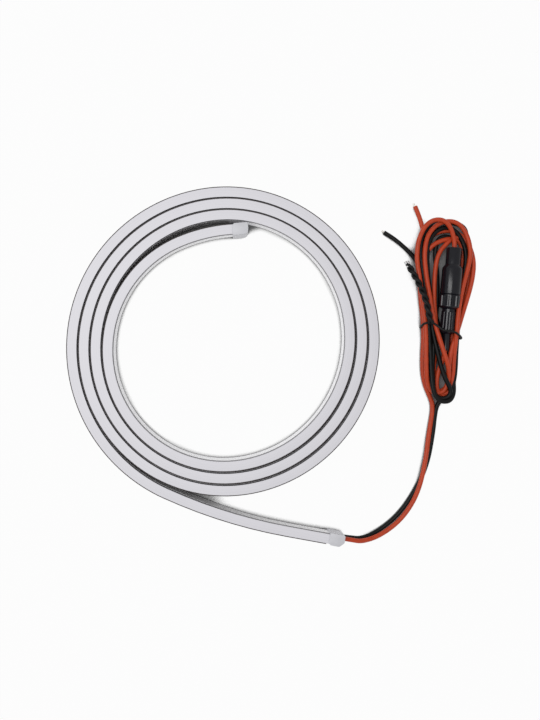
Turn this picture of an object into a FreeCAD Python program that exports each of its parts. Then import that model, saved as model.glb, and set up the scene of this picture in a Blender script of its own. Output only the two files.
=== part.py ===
# LED hood light strip: a white silicone light strip, coiled on its edge, with a moulded boot on each
# end, a red and a black lead, and a tied hank of wire round an in-line fuse holder.
# Millimetres, +Z up. The origin lies under the middle of the coiled strip, on the surface it stands on.
import FreeCAD, Part
import math
import os
from types import SimpleNamespace

import Sketcher
from FreeCAD import Placement, Rotation, Vector

# Driving dimensions: name, value in millimetres or degrees, what it measures.
SIZES = [
    ("ribbon_width", 8.0, "flexible circuit, across"),
    ("ribbon_thickness", 0.3, "flexible circuit, through"),
    ("ribbon_play", 0.1, "room round the circuit in its channel"),
    ("side_wall", 1.9, "silicone above and below the channel"),
    ("back_wall", 1.3, "silicone behind the channel"),
    ("front_wall", 1.6, "silicone in front of the channel, which the light passes"),
    ("led_length", 3.5, "light-emitting chip, along the strip"),
    ("led_width", 2.8, "light-emitting chip, across the strip"),
    ("led_height", 0.7, "light-emitting chip, off the circuit"),
    ("led_room", 0.65, "air in front of the chips"),
    ("led_pitch", 25.0, "from chip to chip along the strip"),
    ("led_margin", 22.0, "from the lead end to the first chip"),
    ("chips_per_resistor", 3.0, "chips in one group"),
    ("resistor_length", 3.2, "chip resistor, along the strip"),
    ("resistor_width", 1.6, "chip resistor, across the strip"),
    ("resistor_height", 0.55, "chip resistor, off the circuit"),
    ("solder_film", 0.05, "solder between a chip and the circuit"),
    ("tape_width", 11.6, "adhesive tape, across"),
    ("tape_thickness", 0.35, "adhesive tape with its liner"),
    ("tape_bond", 0.03, "bond line behind the tape"),
    ("tape_setback", 1.0, "from each boot to the tape's end"),
    ("turn_gap", 0.52, "air between one turn's tape and the next turn"),
    ("coil_radius", 72.44, "middle line of the outermost full turn"),
    ("coil_oval", 1.33, "how much flatter every second quarter turn lies"),
    ("coil_oval_growth", 0.1, "what the inner quarters add to that, one by one"),
    ("coil_lean", 11.0, "how far the oval is turned"),
    ("coil_rise", 0.2, "how much each turn lies off the one outside it"),
    ("tail_heading", 169.71, "direction of the strip at its lead end"),
    ("tail_straight", 25.7, "straight run at the lead end"),
    ("tail_sweep_radius", 246.0, "gentle bend of the tail"),
    ("tail_sweep_span", 14.06, "angle of that bend"),
    ("tail_spread", 2.71, "how much wider the tail bends than the coil"),
    ("inner_spring", 2.65, "how much tighter the inner end bends than the coil"),
    ("inner_spring_span", 78.1, "angle of that bend"),
    ("inner_flare", 18.5, "how much wider the last bend is than the coil"),
    ("inner_flare_span", 18.4, "angle of the last bend"),
    ("boot_wall", 0.5, "boot wall round the strip"),
    ("boot_play", 0.05, "glue between boot and strip"),
    ("boot_overlap", 5.6, "how far a boot covers the strip"),
    ("inner_boot_end", 2.0, "closed end of the inner boot"),
    ("lead_boot_end", 1.8, "end of the boot that the leads pass"),
    ("boot_round", 1.2, "rounding of a boot's end"),
    ("wire_diameter", 2.2, "insulated wire"),
    ("wire_play", 0.08, "room round a wire in its hole"),
    ("wire_seat", 1.0, "how far an insulated wire goes into the boot"),
    ("wire_spacing", 2.6, "from lead to lead in the boot"),
    ("conductor_diameter", 0.9, "stripped wire"),
    ("conductor_reach", 4.0, "stripped wire over the circuit"),
    ("joint_length", 2.4, "solder joint, along the wire"),
    ("joint_width", 1.7, "solder joint, across the wire"),
    ("tip_length", 1.8, "tinned tip of a free end"),
    ("holder_length", 49.7, "fuse holder, end to end"),
    ("holder_diameter", 9.7, "fuse holder at its thickest"),
    ("holder_wall", 0.6, "thinnest wall round the fuse"),
    ("foot_length", 8.0, "sleeve of the body round its wire"),
    ("sleeve_wall", 0.5, "wall of the holder's two wire sleeves"),
    ("foot_floor", 3.0, "from the body's shoulder to its contact"),
    ("shoulder", 1.0, "length of the body's tapers"),
    ("grip_start", 20.2, "from the foot to the fluted grip"),
    ("grip_length", 6.8, "fluted grip of the body"),
    ("spigot_length", 6.0, "body inside the cap"),
    ("spigot_wall", 1.1, "wall of the spigot"),
    ("holder_play", 0.1, "room between body and cap"),
    ("cap_top_length", 8.2, "slim top of the cap"),
    ("cap_taper", 1.5, "taper below the slim top"),
    ("cap_top_wall", 0.85, "wall of the slim top round its bore"),
    ("cap_floor", 7.7, "closed end of the cap"),
    ("flute_count", 12.0, "flutes round the grip"),
    ("flute_width", 0.8, "one flute"),
    ("flute_depth", 0.4, "one flute"),
    ("fuse_length", 20.0, "glass fuse, end to end"),
    ("fuse_diameter", 5.2, "fuse over its end caps"),
    ("fuse_play", 0.2, "room round the fuse"),
    ("fuse_cap_length", 5.5, "one end cap of the fuse"),
    ("fuse_cap_wall", 0.25, "sheet of the end caps"),
    ("glass_wall", 0.5, "glass tube"),
    ("element_diameter", 0.3, "fuse element"),
    ("contact_thickness", 1.2, "contact disc"),
    ("contact_play", 0.1, "room at the contact discs"),
    ("spring_sheet", 0.3, "sheet of the contact spring"),
    ("spring_width", 2.4, "contact spring, across"),
    ("hank_height", 7.0, "hank, off the surface"),
    ("hank_top_radius", 14.3, "round upper end of the hank"),
    ("hank_foot_radius", 8.6, "round lower end of the hank"),
    ("hank_crown", 1.6, "bevelled upper edge of the hank"),
    ("hank_room_top", 1.65, "room in the hank at the holder's cap"),
    ("hank_room_foot", -0.45, "room in the hank at the holder's foot, against its thickest part"),
    ("hank_room_end", 2.8, "room past the holder's cap"),
    ("tie_thickness", 1.2, "twist tie, through"),
    ("tie_width", 1.6, "twist tie, along the hank"),
    ("tie_play", 0.15, "room between the tie and what it holds"),
    ("tie_inner_width", 23.2, "inside of the tie, across the hank"),
    ("tie_tail_diameter", 2.4, "the tie's two ends, twisted together"),
]


class Size:
    """A length or an angle, as a number and as the formula on the sheet that gives it."""

    def __init__(self, value, formula):
        self.value = value
        self.formula = formula

    def __add__(self, other):
        other = as_size(other)
        return Size(self.value + other.value, f"({self.formula} + {other.formula})")

    def __sub__(self, other):
        other = as_size(other)
        return Size(self.value - other.value, f"({self.formula} - {other.formula})")

    def __mul__(self, other):
        other = as_size(other)
        return Size(self.value * other.value, f"({self.formula} * {other.formula})")

    def __truediv__(self, other):
        other = as_size(other)
        return Size(self.value / other.value, f"({self.formula} / {other.formula})")

    def __neg__(self):
        return Size(-self.value, f"(0 - {self.formula})")


def as_size(number):
    if isinstance(number, Size):
        return number
    return Size(float(number), f"{float(number):.9g}")


doc = FreeCAD.newDocument("led_hood_light_strip")
sheet = doc.addObject("Spreadsheet::Sheet", "Sizes")
for row, (alias, value, meaning) in enumerate(SIZES, start=1):
    sheet.set(f"A{row}", meaning)
    sheet.set(f"B{row}", str(value))
    sheet.setAlias(f"B{row}", alias)
doc.recompute()
s = SimpleNamespace()
for alias, value, meaning in SIZES:
    setattr(s, alias, Size(float(sheet.get(alias)), f"Sizes.{alias}"))

ZERO = as_size(0)
QUARTER_TURN = as_size(90)
pieces = []


# Helpers for sketches and features whose sizes are tied to the sheet.


def new_body(label):
    body = doc.addObject("PartDesign::Body", label)
    body.Label = label
    return body


def new_sketch(body, name, plane, lift=None):
    sketch = body.newObject("Sketcher::SketchObject", name)
    support = next(f for f in body.Origin.OriginFeatures if f.Role == plane)
    sketch.AttachmentSupport = [(support, "")]
    sketch.MapMode = "FlatFace"
    if lift is not None:
        sketch.setExpression("AttachmentOffset.Base.z", lift.formula)
    return sketch


def tie(sketch, kind, *places, to):
    """Adds a dimension to the sketch and ties it to the sheet."""
    if kind == "Angle":
        index = sketch.addConstraint(Sketcher.Constraint(kind, *places, math.radians(to.value)))
        sketch.setExpression(f"Constraints[{index}]", f"{to.formula} * 1 deg")
        return
    index = sketch.addConstraint(Sketcher.Constraint(kind, *places, to.value))
    sketch.setExpression(f"Constraints[{index}]", to.formula)


def outline(sketch, corners):
    """A closed outline of straight edges, each corner tied to the sheet."""
    first = sketch.GeometryCount
    points = [Vector(x.value, y.value, 0) for x, y in corners]
    for start, end in zip(points, points[1:] + points[:1]):
        sketch.addGeometry(Part.LineSegment(start, end))
    for i, (x, y) in enumerate(corners):
        edge = first + i
        before = first + (i - 1) % len(corners)
        sketch.addConstraint(Sketcher.Constraint("Coincident", before, 2, edge, 1))
        tie(sketch, "DistanceX", edge, 1, to=x)
        tie(sketch, "DistanceY", edge, 1, to=y)


def rectangle(left, bottom, right, top):
    return [(left, bottom), (right, bottom), (right, top), (left, top)]


def disc(sketch, x, y, diameter):
    centre = Vector(x.value, y.value, 0)
    index = sketch.addGeometry(Part.Circle(centre, Vector(0, 0, 1), diameter.value / 2))
    tie(sketch, "DistanceX", index, 3, to=x)
    tie(sketch, "DistanceY", index, 3, to=y)
    tie(sketch, "Diameter", index, to=diameter)


def extrude(body, kind, name, sketch, length, backwards=False):
    feature = body.newObject(kind, name)
    feature.Profile = sketch
    feature.setExpression("Length", length.formula)
    feature.Reversed = backwards
    return feature


def revolve(label, corners):
    """A turned piece: its half section, from the local X axis outwards, turned about that axis."""
    body = new_body(label)
    sketch = new_sketch(body, label + "_section", "XZ_Plane")
    outline(sketch, corners)
    turned = body.newObject("PartDesign::Revolution", label + "_turned")
    turned.Profile = sketch
    turned.ReferenceAxis = (sketch, ["H_Axis"])
    turned.Angle = 360
    return body


def keep(piece, label, place):
    """Gives a finished sub-part its label and its place in the lead end's frame."""
    piece.Label = label
    pieces.append((piece, place))
    return piece


def shape_piece(label, shape, place):
    piece = doc.addObject("Part::Feature", label)
    piece.Shape = shape
    return keep(piece, label, place)


# The strip's section. Its local X runs along the strip, +Y towards its back and +Z up its height.
channel_depth = s.ribbon_play + s.ribbon_thickness + s.solder_film + s.led_height + s.led_room
channel_height = s.ribbon_width + s.ribbon_play * 2
strip_thickness = s.back_wall + channel_depth + s.front_wall
strip_height = channel_height + s.side_wall * 2
strip_foot = s.boot_wall + s.boot_play
strip_middle = strip_foot + strip_height / 2
back_face = strip_thickness / 2
channel_back = back_face - s.back_wall
channel_front = channel_back - channel_depth
ribbon_back = channel_back - s.ribbon_play
ribbon_front = ribbon_back - s.ribbon_thickness

# The strip's middle line, from the lead end inwards: a straight tail, a gentle bend, a wider quarter
# that joins the coil, three turns of quarter arcs that close in by one pitch each, and the inner end,
# which springs off the coil, flattens again and is straight in its boot.
COIL_QUARTERS = 12
coil_pitch = strip_thickness + s.tape_bond + s.tape_thickness + s.turn_gap


def quarter_radius(index):
    flat = s.coil_oval + s.coil_oval_growth * index
    if index % 2:
        flat = -flat
    rise = s.coil_rise / 4
    if index % 4 in (1, 2):
        rise = -rise
    return s.coil_radius - coil_pitch * index / 4 + flat + rise


strip_arcs = [(s.tail_sweep_radius, s.tail_sweep_span)]
joining_span = s.tail_heading - s.tail_sweep_span - s.coil_lean - QUARTER_TURN
strip_arcs.append((quarter_radius(-1) + s.tail_spread, joining_span))
strip_arcs += [(quarter_radius(index), QUARTER_TURN) for index in range(COIL_QUARTERS)]
strip_arcs.append((quarter_radius(COIL_QUARTERS) - s.inner_spring, s.inner_spring_span))
strip_arcs.append((quarter_radius(COIL_QUARTERS) + s.inner_flare, s.inner_flare_span))
inner_straight = s.boot_overlap + s.tape_setback
arcs_length = sum(radius.value * math.radians(span.value) for radius, span in strip_arcs)
strip_length = s.tail_straight.value + arcs_length + inner_straight.value


def on_strip(distance):
    """Place on the strip's middle line, with local X along it, at a distance from the lead end."""
    point = Vector(0, 0, 0)
    heading = 0.0
    forward = min(distance, s.tail_straight.value)
    point = point + Vector(forward, 0, 0)
    left = distance - forward
    for radius, span in strip_arcs:
        turn = min(left / radius.value, math.radians(span.value))
        to_middle = Vector(math.sin(heading), -math.cos(heading), 0) * radius.value
        middle = point + to_middle
        heading -= turn
        point = middle + Vector(-math.sin(heading), math.cos(heading), 0) * radius.value
        left -= turn * radius.value
    point = point + Vector(math.cos(heading), math.sin(heading), 0) * left
    return Placement(point, Rotation(Vector(0, 0, 1), math.degrees(heading)))


def strip_path(body, name, inset):
    """The middle line as a sketch of lines and tangent arcs, cut back by the inset at both ends."""
    sketch = new_sketch(body, name, "XY_Plane")
    straight = s.tail_straight - inset
    point = Vector(s.tail_straight.value, 0, 0)
    sketch.addGeometry(Part.LineSegment(Vector(inset.value, 0, 0), point))
    sketch.addConstraint(Sketcher.Constraint("PointOnObject", 0, 1, -1))
    sketch.addConstraint(Sketcher.Constraint("Horizontal", 0))
    tie(sketch, "DistanceX", 0, 1, to=inset)
    tie(sketch, "Distance", 0, to=straight)
    heading = 0.0
    before = (0, 2)
    for radius, span in strip_arcs:
        middle = point + Vector(math.sin(heading), -math.cos(heading), 0) * radius.value
        first = heading + math.pi / 2
        heading -= math.radians(span.value)
        last = heading + math.pi / 2
        point = middle + Vector(math.cos(last), math.sin(last), 0) * radius.value
        circle = Part.Circle(middle, Vector(0, 0, 1), radius.value)
        arc = sketch.addGeometry(Part.ArcOfCircle(circle, last, first))
        sketch.addConstraint(Sketcher.Constraint("Tangent", *before, arc, 2))
        tie(sketch, "Radius", arc, to=radius)
        tie(sketch, "Angle", arc, to=span)
        before = (arc, 1)
    end_run = inner_straight - inset
    if end_run.value > 0:
        end = point + Vector(math.cos(heading), math.sin(heading), 0) * end_run.value
        line = sketch.addGeometry(Part.LineSegment(point, end))
        sketch.addConstraint(Sketcher.Constraint("Tangent", *before, line, 1))
        tie(sketch, "Distance", line, to=end_run)
    return sketch


def sweep(body, kind, name, section, path):
    pipe = body.newObject(kind, name)
    pipe.Profile = section
    pipe.Spine = path
    return pipe


def strip_layer(label, section, inset):
    """A layer that runs along the whole strip with one section."""
    body = new_body(label)
    path = strip_path(body, label + "_path", inset)
    profile = new_sketch(body, label + "_section", "YZ_Plane", inset)
    outline(profile, section)
    sweep(body, "PartDesign::AdditivePipe", label + "_run", profile, path)
    return body, path


lead_end = Placement(Vector(0, 0, 0), Rotation(Vector(0, 0, 1), s.tail_heading.value))

# Silicone sleeve with its channel.
sleeve_section = rectangle(-back_face, strip_foot, back_face, strip_foot + strip_height)
sleeve, sleeve_path = strip_layer("strip_sleeve", sleeve_section, ZERO)
channel = new_sketch(sleeve, "channel_section", "YZ_Plane")
channel_foot = strip_foot + s.side_wall
outline(channel, rectangle(channel_front, channel_foot, channel_back, channel_foot + channel_height))
sweep(sleeve, "PartDesign::SubtractivePipe", "channel_run", channel, sleeve_path)
keep(sleeve, "strip_sleeve", lead_end)

# Flexible circuit on the channel's back.
half_ribbon = s.ribbon_width / 2
ribbon_section = rectangle(ribbon_front, strip_middle - half_ribbon, ribbon_back, strip_middle + half_ribbon)
ribbon, ribbon_path = strip_layer("led_ribbon", ribbon_section, ZERO)
keep(ribbon, "led_ribbon", lead_end)

# Adhesive tape with its liner, between the two boots.
half_tape = s.tape_width / 2
tape_front = back_face + s.tape_bond
tape_section = rectangle(
    tape_front, strip_middle - half_tape, tape_front + s.tape_thickness, strip_middle + half_tape
)
tape, tape_path = strip_layer("adhesive_tape", tape_section, inner_straight)
keep(tape, "adhesive_tape", lead_end)


def chips(label, places, length, width, height):
    """Chips on the ribbon's front face, each flat against the inside of its curve."""
    tightest = min(radius.value for radius, span in strip_arcs) + ribbon_front.value
    stand_off = (length.value / 2) ** 2 / (2 * tightest) + s.solder_film.value
    solids = []
    for distance in places:
        corner = Vector(-length.value / 2, ribbon_front.value - stand_off - height.value, 0)
        corner.z = strip_middle.value - width.value / 2
        chip = Part.makeBox(length.value, height.value, width.value, corner)
        chip.Placement = on_strip(distance).multiply(chip.Placement)
        solids.append(chip)
    shape_piece(label, Part.makeCompound(solids), lead_end)


# Light-emitting chips, and a resistor after each group of them.
led_count = int((strip_length - 2 * s.led_margin.value) / s.led_pitch.value) + 1
led_places = [s.led_margin.value + i * s.led_pitch.value for i in range(led_count)]
group = int(s.chips_per_resistor.value)
resistor_places = [place + s.led_pitch.value / 2 for place in led_places[:-1:group]]
chips("led_chips", led_places, s.led_length, s.led_width, s.led_height)
chips("resistor_chips", resistor_places, s.resistor_length, s.resistor_width, s.resistor_height)

# The two leads' axes in the boot, over the ribbon's pads.
wire_side = ribbon_front - s.solder_film - s.conductor_diameter / 2
wire_low = strip_middle - s.wire_spacing / 2
wire_high = strip_middle + s.wire_spacing / 2
wire_hole = s.wire_diameter + s.wire_play * 2
conductor_hole = s.conductor_diameter + s.wire_play * 2


def boot(label, end):
    """A moulded boot: a socket round the strip's end, closed by a rounded end wall."""
    body = new_body(label)
    inner = back_face + s.boot_play
    outer = inner + s.boot_wall
    top = strip_foot * 2 + strip_height
    socket = new_sketch(body, label + "_socket_section", "YZ_Plane")
    outline(socket, rectangle(-outer, ZERO, outer, top))
    outline(socket, rectangle(-inner, s.boot_wall, inner, top - s.boot_wall))
    extrude(body, "PartDesign::Pad", label + "_socket", socket, s.boot_overlap)
    wall = new_sketch(body, label + "_end_section", "YZ_Plane")
    outline(wall, rectangle(-outer, ZERO, outer, top))
    closed = extrude(body, "PartDesign::Pad", label + "_end", wall, end, backwards=True)
    doc.recompute()
    rim = []
    for number, edge in enumerate(closed.Shape.Edges, start=1):
        if edge.BoundBox.XMax < 0.01 - end.value:
            rim.append(f"Edge{number}")
    rounded = body.newObject("PartDesign::Fillet", label + "_rounded")
    rounded.Base = (closed, rim)
    rounded.setExpression("Radius", s.boot_round.formula)
    return body


# Boot on the lead end, with a seat for each insulated wire and a hole for each conductor.
lead_boot = boot("lead_end_boot", s.lead_boot_end)
for name, diameter, depth in [
    ("wire_seats", wire_hole, s.wire_seat),
    ("conductor_holes", conductor_hole, s.lead_boot_end),
]:
    holes = new_sketch(lead_boot, name + "_section", "YZ_Plane", -s.lead_boot_end)
    disc(holes, wire_side, wire_low, diameter)
    disc(holes, wire_side, wire_high, diameter)
    extrude(lead_boot, "PartDesign::Pocket", name, holes, depth, backwards=True)
keep(lead_boot, "lead_end_boot", lead_end)

# Boot on the free inner end, turned to face back along the strip.
inner_boot = boot("inner_end_boot", s.inner_boot_end)
turned_back = Placement(Vector(0, 0, 0), Rotation(Vector(0, 0, 1), 180))
keep(inner_boot, "inner_end_boot", lead_end.multiply(on_strip(strip_length)).multiply(turned_back))

# Stripped conductors from the boot to the ribbon, and their solder joints.
seat_floor = s.wire_seat.value - s.lead_boot_end.value
conductors = []
joints = []
for height in (wire_low, wire_high):
    start = Vector(seat_floor, wire_side.value, height.value)
    length = s.conductor_reach.value - seat_floor
    radius = s.conductor_diameter.value / 2
    conductor = Part.makeCylinder(radius, length, start, Vector(1, 0, 0))
    corner = Vector(s.conductor_reach.value - s.joint_length.value, wire_side.value, height.value)
    corner.z -= s.joint_width.value / 2
    depth = ribbon_front.value - wire_side.value
    joint = Part.makeBox(s.joint_length.value, depth, s.joint_width.value, corner)
    conductors.append(conductor)
    joints.append(joint.cut(conductor))
shape_piece("lead_conductors", Part.makeCompound(conductors), lead_end)
shape_piece("solder_joints", Part.makeCompound(joints), lead_end)

# Cords. Their points are chosen by hand, from the lead end of the strip, and lie on the surface.
EXIT = lead_end.multVec(Vector(seat_floor, wire_side.value, 0))
no_turn = Placement()


def cord_path(label, points):
    """Straight runs joined by arcs as large as the runs allow."""
    edges = []
    radii = []
    here = points[0]
    for before, corner, after in zip(points, points[1:], points[2:]):
        incoming = (corner - before).normalize()
        outgoing = (after - corner).normalize()
        half_turn = incoming.getAngle(outgoing) / 2
        reach = 0.45 * min(before.distanceToPoint(corner), corner.distanceToPoint(after))
        radius = reach / math.tan(half_turn)
        inwards = (outgoing - incoming).normalize()
        start = corner - incoming * reach
        end = corner + outgoing * reach
        top = corner + inwards * (radius / math.cos(half_turn) - radius)
        edges.append(Part.LineSegment(here, start).toShape())
        edges.append(Part.Arc(start, top, end).toShape())
        radii.append(round(radius, 1))
        here = end
    edges.append(Part.LineSegment(here, points[-1]).toShape())
    print(label, "bend radii", radii)
    return Part.Wire(edges)


def tube(label, points, diameter):
    """A round cord along its route, with its volume compared with section times length."""
    path = cord_path(label, points)
    direction = (points[1] - points[0]).normalize()
    ring = Part.Wire(Part.makeCircle(diameter / 2, points[0], direction))
    solid = path.makePipeShell([ring], True, False)
    expected = math.pi * diameter ** 2 / 4 * path.Length
    print(label, "length", round(path.Length, 1), "volume ratio", round(solid.Volume / expected, 4))
    return solid


def route(rows):
    return [Vector(*row) for row in rows]


exit_run = lead_end.Rotation.multVec(Vector(-1, 0, 0)) * 5
red_start = Vector(EXIT.x, EXIT.y, wire_high.value)
black_start = Vector(EXIT.x, EXIT.y, wire_low.value)
red_route = [red_start, red_start + exit_run] + route([
    (11.2, -2.3, 5.8),
    (20.4, 0.0, 3.5),
    (30.8, 7.8, 3.4),
    (38.4, 19.8, 3.6),
    (42.1, 34.8, 3.1),
    (44.1, 50.2, 1.7),
    (46.4, 65.1, 1.3),
])
black_route = [black_start, black_start + exit_run] + route([
    (11.1, -1.8, 3.1),
    (19.6, 1.0, 1.15),
    (29.6, 9.0, 1.15),
    (37.6, 20.6, 1.15),
    (43.6, 34.0, 1.15),
    (46.5, 49.6, 1.15),
    (48.9, 64.8, 1.15),
])
shape_piece("red_lead", tube("red_lead", red_route, s.wire_diameter.value), no_turn)
shape_piece("black_lead", tube("black_lead", black_route, s.wire_diameter.value), no_turn)

# Free ends with their tinned tips.
red_end_route = route([(41.1, 149.2, 3.4), (39.5, 154.4, 2.2), (37.6, 159.7, 1.3)])
black_end_route = route([(37.2, 134.9, 3.2), (30.6, 141.7, 1.9), (23.0, 147.0, 1.2)])
for name, points in [("red", red_end_route), ("black", black_end_route)]:
    label = name + "_free_end"
    shape_piece(label, tube(label, points, s.wire_diameter.value), no_turn)
    tip = doc.addObject("Part::Cylinder", name + "_bare_tip")
    tip.setExpression("Radius", (s.conductor_diameter / 2).formula)
    tip.setExpression("Height", s.tip_length.formula)
    along = Rotation(Vector(0, 0, 1), points[-1] - points[-2])
    keep(tip, name + "_bare_tip", Placement(points[-1], along))

# Fuse holder, lying in the hank. Its local X runs from the foot to the top of the cap.
HOLDER_FOOT = Vector(51.5, 89.7, 0)
HOLDER_HEADING = 84.9
holder_radius = s.holder_diameter / 2
holder_place = Placement(
    HOLDER_FOOT + Vector(0, 0, holder_radius.value), Rotation(Vector(0, 0, 1), HOLDER_HEADING)
)
bore = s.fuse_diameter / 2 + s.fuse_play
wire_bore = wire_hole / 2
grip_end = s.grip_start + s.grip_length
spigot_end = grip_end + s.spigot_length
foot_floor = s.foot_length + s.foot_floor
cap_floor = s.holder_length - s.cap_floor
cap_start = grip_end + s.holder_play
cap_shoulder = s.holder_length - s.cap_top_length
spigot_radius = bore + s.spigot_wall
cap_bore = spigot_radius + s.holder_play

# Lower half: wire sleeve, barrel round the fuse, fluted grip and spigot.
holder_body = revolve("fuse_holder_body", [
    (ZERO, wire_bore),
    (ZERO, wire_bore + s.sleeve_wall),
    (s.foot_length, wire_bore + s.sleeve_wall),
    (s.foot_length + s.shoulder, bore + s.holder_wall),
    (s.grip_start, bore + s.holder_wall),
    (s.grip_start + s.shoulder, holder_radius),
    (grip_end, holder_radius),
    (grip_end, spigot_radius),
    (spigot_end, spigot_radius),
    (spigot_end, bore),
    (foot_floor, bore),
    (foot_floor, wire_bore),
])
flute = new_sketch(holder_body, "flute_section", "YZ_Plane", grip_end)
half_flute = s.flute_width / 2
outline(flute, rectangle(-half_flute, holder_radius - s.flute_depth, half_flute, holder_radius + s.flute_depth))
flute_cut = extrude(holder_body, "PartDesign::Pocket", "flute_cut", flute, s.grip_length)
flutes = holder_body.newObject("PartDesign::PolarPattern", "flutes")
flutes.Originals = [flute_cut]
flutes.Axis = (next(f for f in holder_body.Origin.OriginFeatures if f.Role == "X_Axis"), [""])
flutes.Angle = 360
flutes.setExpression("Occurrences", s.flute_count.formula)
holder_body.Tip = flutes
keep(holder_body, "fuse_holder_body", holder_place)

# Upper half: a cap over the spigot, with a slim top round its wire.
top_radius = bore + s.cap_top_wall
holder_cap = revolve("fuse_holder_cap", [
    (cap_start, cap_bore),
    (cap_start, holder_radius),
    (cap_shoulder - s.cap_taper, holder_radius),
    (cap_shoulder, top_radius),
    (s.holder_length, top_radius),
    (s.holder_length, wire_bore),
    (cap_floor, wire_bore),
    (cap_floor, bore),
    (spigot_end + s.holder_play, bore),
    (spigot_end + s.holder_play, cap_bore),
])
keep(holder_cap, "fuse_holder_cap", holder_place)

# Contacts at both ends of the fuse, and the spring that presses it home.
contact_radius = bore - s.contact_play
body_contact_end = foot_floor + s.contact_play + s.contact_thickness
fuse_start = body_contact_end + s.contact_play
fuse_end = fuse_start + s.fuse_length
cap_contact_end = cap_floor - s.contact_play
cap_contact_start = cap_contact_end - s.contact_thickness
for label, start, end in [
    ("body_contact", foot_floor + s.contact_play, body_contact_end),
    ("cap_contact", cap_contact_start, cap_contact_end),
]:
    keep(revolve(label, rectangle(start, ZERO, end, contact_radius)), label, holder_place)

spring_start = fuse_end + s.contact_play
spring_end = cap_contact_start - s.contact_play
spring_middle = (spring_start + spring_end) / 2
spring_half = contact_radius / 2
spring = new_body("contact_spring")
spring_section = new_sketch(spring, "contact_spring_section", "XZ_Plane")
outline(spring_section, [
    (spring_start, -spring_half),
    (spring_start + s.spring_sheet, -spring_half),
    (spring_middle + s.spring_sheet, spring_half - s.spring_sheet),
    (spring_end - s.spring_sheet, -spring_half),
    (spring_end, -spring_half),
    (spring_middle + s.spring_sheet * 1.5, spring_half),
    (spring_middle + s.spring_sheet * 0.5, spring_half),
])
spring_run = extrude(spring, "PartDesign::Pad", "contact_spring_run", spring_section, s.spring_width)
spring_run.SideType = "Symmetric"
keep(spring, "contact_spring", holder_place)

# Glass fuse: tube, two end caps and the element between them.
fuse_radius = s.fuse_diameter / 2
fuse_inner = fuse_radius - s.fuse_cap_wall
glass_start = fuse_start + s.fuse_cap_wall
glass_end = fuse_end - s.fuse_cap_wall
glass = revolve("fuse_glass", rectangle(glass_start, fuse_inner - s.glass_wall, glass_end, fuse_inner))
keep(glass, "fuse_glass", holder_place)
cups = new_body("fuse_end_cap")
cups_section = new_sketch(cups, "fuse_end_cap_section", "XZ_Plane")
outline(cups_section, [
    (fuse_start, ZERO),
    (fuse_start, fuse_radius),
    (fuse_start + s.fuse_cap_length, fuse_radius),
    (fuse_start + s.fuse_cap_length, fuse_inner),
    (glass_start, fuse_inner),
    (glass_start, ZERO),
])
cup = cups.newObject("PartDesign::Revolution", "fuse_end_cap_turned")
cup.Profile = cups_section
cup.ReferenceAxis = (cups_section, ["H_Axis"])
cup.Angle = 360
doc.recompute()
other_cup = cups.Shape.mirror(Vector((fuse_start.value + fuse_end.value) / 2, 0, 0), Vector(1, 0, 0))
shape_piece("fuse_end_caps", Part.makeCompound([cups.Shape.copy(), other_cup]), holder_place)
element = doc.addObject("Part::Cylinder", "fuse_element")
element.setExpression("Radius", (s.element_diameter / 2).formula)
element.setExpression("Height", (glass_end - glass_start).formula)
along_holder = Placement(Vector(glass_start.value, 0, 0), Rotation(Vector(0, 0, 1), Vector(1, 0, 0)))
keep(element, "fuse_element", holder_place.multiply(along_holder))

# The two wires where they enter the holder, from its contacts to the hank.
hank_foot_radius = holder_radius + s.hank_room_foot
hank_cap_radius = holder_radius + s.hank_room_top
FOOT_CENTRE = as_size(3.0)
cap_centre = s.holder_length + s.hank_room_end - hank_cap_radius
hank_start = FOOT_CENTRE - hank_foot_radius
hank_end = cap_centre + hank_cap_radius
STUB_GAP = as_size(0.2)
for label, start, end in [
    ("fuse_wire_foot", hank_start + STUB_GAP, foot_floor),
    ("fuse_wire_top", cap_floor, hank_end - STUB_GAP),
]:
    wire = doc.addObject("Part::Cylinder", label)
    wire.setExpression("Radius", (s.wire_diameter / 2).formula)
    wire.setExpression("Height", (end - start).formula)
    along = Placement(Vector(start.value, 0, 0), Rotation(Vector(0, 0, 1), Vector(1, 0, 0)))
    keep(wire, label, holder_place.multiply(along))

# Hank: the outer shape of the tied wire, with the room that the fuse holder lies in.
HANK_TOP = Vector(52.2, 138.8, 0)
HANK_FOOT = Vector(48.8, 73.7, 0)


def rounded_link(sketch, first, first_radius, second, second_radius):
    """Two arcs joined by two straight lines that are tangent to both."""
    axis = second - first
    heading = math.atan2(axis.y, axis.x)
    lean = math.acos((first_radius.value - second_radius.value) / axis.Length)
    up = Vector(0, 0, 1)
    start = sketch.GeometryCount
    for centre, radius, side in [(first, first_radius, 1), (second, second_radius, 0)]:
        begin = heading + lean if side else heading - lean
        end = heading - lean + 2 * math.pi if side else heading + lean
        circle = Part.Circle(centre, up, radius.value)
        arc = sketch.addGeometry(Part.ArcOfCircle(circle, begin, end))
        tie(sketch, "DistanceX", arc, 3, to=as_size(centre.x))
        tie(sketch, "DistanceY", arc, 3, to=as_size(centre.y))
        tie(sketch, "Radius", arc, to=radius)
    for angle, ends in [(lean, (1, 2)), (-lean, (2, 1))]:
        normal = Vector(math.cos(heading + angle), math.sin(heading + angle), 0)
        a = first + normal * first_radius.value
        b = second + normal * second_radius.value
        line = sketch.addGeometry(Part.LineSegment(a, b))
        sketch.addConstraint(Sketcher.Constraint("Tangent", start, ends[0], line, 1))
        sketch.addConstraint(Sketcher.Constraint("Tangent", line, 2, start + 1, ends[1]))


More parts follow.
